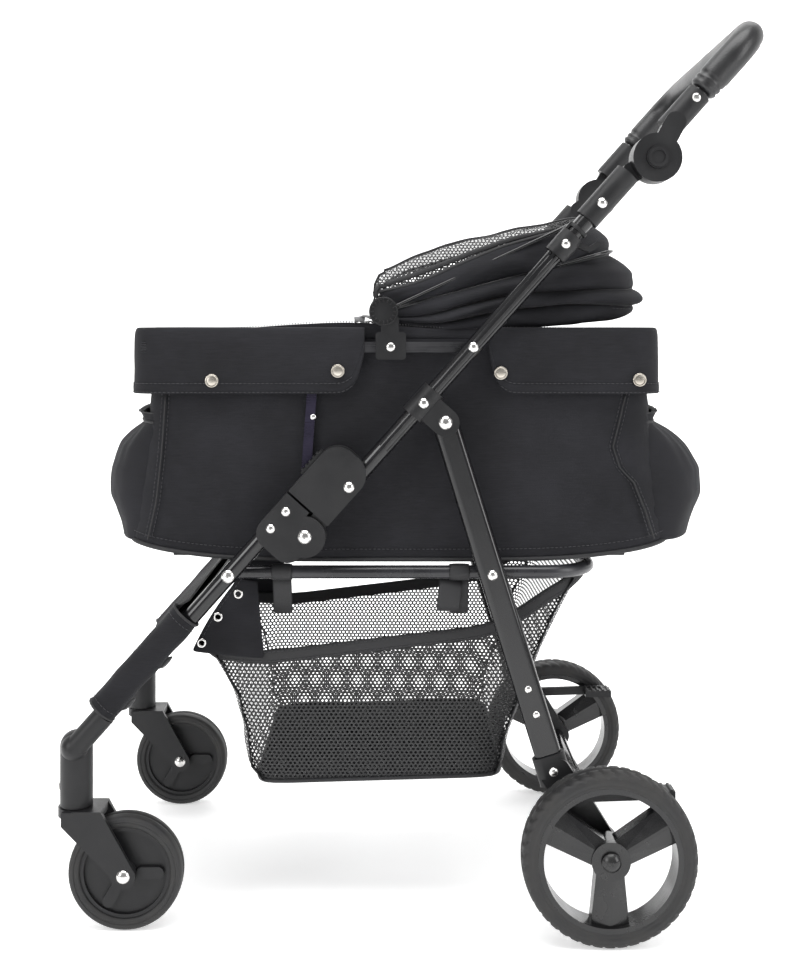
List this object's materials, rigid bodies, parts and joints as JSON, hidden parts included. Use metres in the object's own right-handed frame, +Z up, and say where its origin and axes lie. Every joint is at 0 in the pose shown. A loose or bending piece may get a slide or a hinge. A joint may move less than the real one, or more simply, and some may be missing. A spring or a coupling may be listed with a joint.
{
  "type": "pet stroller",
  "caption": "Folding four-wheel pet stroller with a soft cabin bag, fold-back canopy, storage basket, swivel front casters and a tilting padded handle.",
  "frame": {"origin": "floor level under the centre of the whole stroller", "axes": "+Z up, +X towards the handle at the rear, Y across; the stroller rolls forward along -X"},
  "size_m": [0.7932, 0.534, 1.0153],
  "materials": {
    "frame_paint": "gloss",
    "frame_plastic": "matte",
    "wheel_plastic": "gloss",
    "bright_metal": "polished",
    "rail_steel": "satin",
    "tyre": "matte",
    "cloth": "woven",
    "mesh_cloth": "open mesh",
    "grip": "soft satin",
    "board": "matte"
  },
  "bodies": {
    "front_frame": {"front_leg_left": "frame_paint", "front_leg_right": "frame_paint", "fold_base_left": "frame_plastic", "fold_base_right": "frame_plastic", "leg_end_left": "frame_plastic", "leg_end_right": "frame_plastic", "cross_plate": "frame_plastic", "front_panel": "cloth", "front_rivets": "bright_metal"},
    "caster_left": {"fork_left": "frame_plastic", "front_axle_left": "bright_metal"},
    "caster_right": {"fork_right": "frame_plastic", "front_axle_right": "bright_metal"},
    "front_wheel_left": {"front_wheel_left": "wheel_plastic", "front_tyre_left": "tyre"},
    "front_wheel_right": {"front_wheel_right": "wheel_plastic", "front_tyre_right": "tyre"},
    "handle_frame": {"handle_tube_left": "frame_paint", "handle_tube_right": "frame_paint", "fold_cover_left": "frame_plastic", "fold_cover_right": "frame_plastic", "leg_bracket_left": "frame_plastic", "leg_bracket_right": "frame_plastic", "hook_clips": "frame_plastic", "handle_socket_left": "frame_plastic", "handle_socket_right": "frame_plastic", "handle_rivets": "bright_metal"},
    "fold_latch": {"fold_latches": "frame_plastic"},
    "handle": {"handle_arm_left": "frame_plastic", "handle_arm_right": "frame_plastic", "handle_bar": "frame_paint", "handle_grip": "grip"},
    "button_left": {"tilt_button_left": "frame_plastic"},
    "button_right": {"tilt_button_right": "frame_plastic"},
    "rear_frame": {"rear_leg_left": "frame_paint", "rear_leg_right": "frame_paint", "rear_foot_left": "frame_plastic", "rear_foot_right": "frame_plastic", "rear_axle": "bright_metal", "cross_tube": "frame_paint", "rear_rivets": "bright_metal"},
    "brake_left": {"brake_pedal_left": "frame_plastic"},
    "brake_right": {"brake_pedal_right": "frame_plastic"},
    "rear_wheel_left": {"rear_rim_left": "wheel_plastic", "rear_tyre_left": "tyre"},
    "rear_wheel_right": {"rear_rim_right": "wheel_plastic", "rear_tyre_right": "tyre"},
    "seat_frame": {"seat_rail": "frame_paint", "base_board": "board", "basket": "mesh_cloth", "bag_body": "cloth"},
    "top_frame": {"top_rail": "rail_steel", "canopy_hinges": "frame_plastic"},
    "link_frame": {"link_bars": "frame_paint"},
    "canopy_rear_bow": {"bow_rear": "frame_paint", "canopy_rear": "cloth"},
    "canopy_mid_bow": {"bow_mid": "frame_paint", "canopy_mid": "cloth"},
    "canopy_front_bow": {"bow_front": "frame_paint", "canopy_front": "cloth"}
  },
  "joints": [
    {"name": "frame_fold", "type": "hinge", "parent": "front_frame", "child": "handle_frame", "pos_m": [-0.12049, 0, 0.437], "axis": [0, 1, 0], "range_deg": [0, 114], "deforming": ["bag_body", "basket"]},
    {"name": "seat_rail_swing", "type": "hinge", "parent": "front_frame", "child": "seat_frame", "pos_m": [-0.20523, 0, 0.393], "axis": [0, 1, 0], "range_deg": [0, 88]},
    {"name": "rear_leg_swing", "type": "hinge", "parent": "handle_frame", "child": "rear_frame", "pos_m": [0.03434, 0, 0.56223], "axis": [0, -1, 0], "range_deg": [0, 64]},
    {"name": "top_rail_swing", "type": "hinge", "parent": "handle_frame", "child": "top_frame", "pos_m": [0.06511, 0, 0.64531], "axis": [0, -1, 0], "range_deg": [0, 19]},
    {"name": "link_swing", "type": "hinge", "parent": "front_frame", "child": "link_frame", "pos_m": [-0.12361, 0, 0.46657], "axis": [0, 1, 0], "range_deg": [0, 127]},
    {"name": "handle_tilt", "type": "hinge", "parent": "handle_frame", "child": "handle", "pos_m": [0.26699, 0, 0.85385], "axis": [0, 1, 0], "range_deg": [-35, 60]},
    {"name": "fold_latch_slide", "type": "slide", "parent": "handle_frame", "child": "fold_latch", "axis": [0.6652, 0, 0.7466], "range_m": [0, 0.0075], "stiffness_N_per_m": 300, "springref_m": -0.001},
    {"name": "tilt_button_left_press", "type": "slide", "parent": "handle", "child": "button_left", "axis": [0, 1, 0], "range_m": [0, 0.0035], "stiffness_N_per_m": 400, "springref_m": -0.001},
    {"name": "tilt_button_right_press", "type": "slide", "parent": "handle", "child": "button_right", "axis": [0, -1, 0], "range_m": [0, 0.0035], "stiffness_N_per_m": 400, "springref_m": -0.001},
    {"name": "brake_left_press", "type": "hinge", "parent": "rear_frame", "child": "brake_left", "pos_m": [0.18077, 0, 0.151], "axis": [0, 1, 0], "range_deg": [0, 14]},
    {"name": "brake_right_press", "type": "hinge", "parent": "rear_frame", "child": "brake_right", "pos_m": [0.18077, 0, 0.151], "axis": [0, 1, 0], "range_deg": [0, 14]},
    {"name": "caster_left_swivel", "type": "hinge", "parent": "front_frame", "child": "caster_left", "pos_m": [-0.37605, -0.198, 0.14], "axis": [0, 0, 1], "continuous": true},
    {"name": "caster_right_swivel", "type": "hinge", "parent": "front_frame", "child": "caster_right", "pos_m": [-0.37605, 0.198, 0.14], "axis": [0, 0, 1], "continuous": true},
    {"name": "front_wheel_left_roll", "type": "hinge", "parent": "caster_left", "child": "front_wheel_left", "pos_m": [-0.32005, -0.198, 0.0635], "axis": [0, 1, 0], "continuous": true},
    {"name": "front_wheel_right_roll", "type": "hinge", "parent": "caster_right", "child": "front_wheel_right", "pos_m": [-0.32005, 0.198, 0.0635], "axis": [0, 1, 0], "continuous": true},
    {"name": "rear_wheel_left_roll", "type": "hinge", "parent": "rear_frame", "child": "rear_wheel_left", "pos_m": [0.20977, -0.241, 0.095], "axis": [0, 1, 0], "continuous": true},
    {"name": "rear_wheel_right_roll", "type": "hinge", "parent": "rear_frame", "child": "rear_wheel_right", "pos_m": [0.20977, 0.241, 0.095], "axis": [0, 1, 0], "continuous": true},
    {"name": "canopy_open", "type": "hinge", "parent": "top_frame", "child": "canopy_rear_bow", "pos_m": [-0.03389, 0, 0.68531], "axis": [0, -1, 0], "range_deg": [0, 45]},
    {"name": "canopy_mid_open", "type": "hinge", "parent": "canopy_rear_bow", "child": "canopy_mid_bow", "pos_m": [-0.03389, 0, 0.68531], "axis": [0, -1, 0], "range_deg": [0, 45]},
    {"name": "canopy_front_open", "type": "hinge", "parent": "canopy_mid_bow", "child": "canopy_front_bow", "pos_m": [-0.03389, 0, 0.68531], "axis": [0, -1, 0], "range_deg": [0, 45]}
  ],
  "couplings": [
    {"joint": "seat_rail_swing", "follows": "frame_fold", "ratio": 0.74},
    {"joint": "rear_leg_swing", "follows": "frame_fold", "ratio": 0.538},
    {"joint": "top_rail_swing", "follows": "frame_fold", "ratio": 0.1417},
    {"joint": "link_swing", "follows": "frame_fold", "ratio": 1.0775},
    {"joint": "canopy_mid_open", "follows": "canopy_open", "ratio": 1},
    {"joint": "canopy_front_open", "follows": "canopy_open", "ratio": 1}
  ]
}
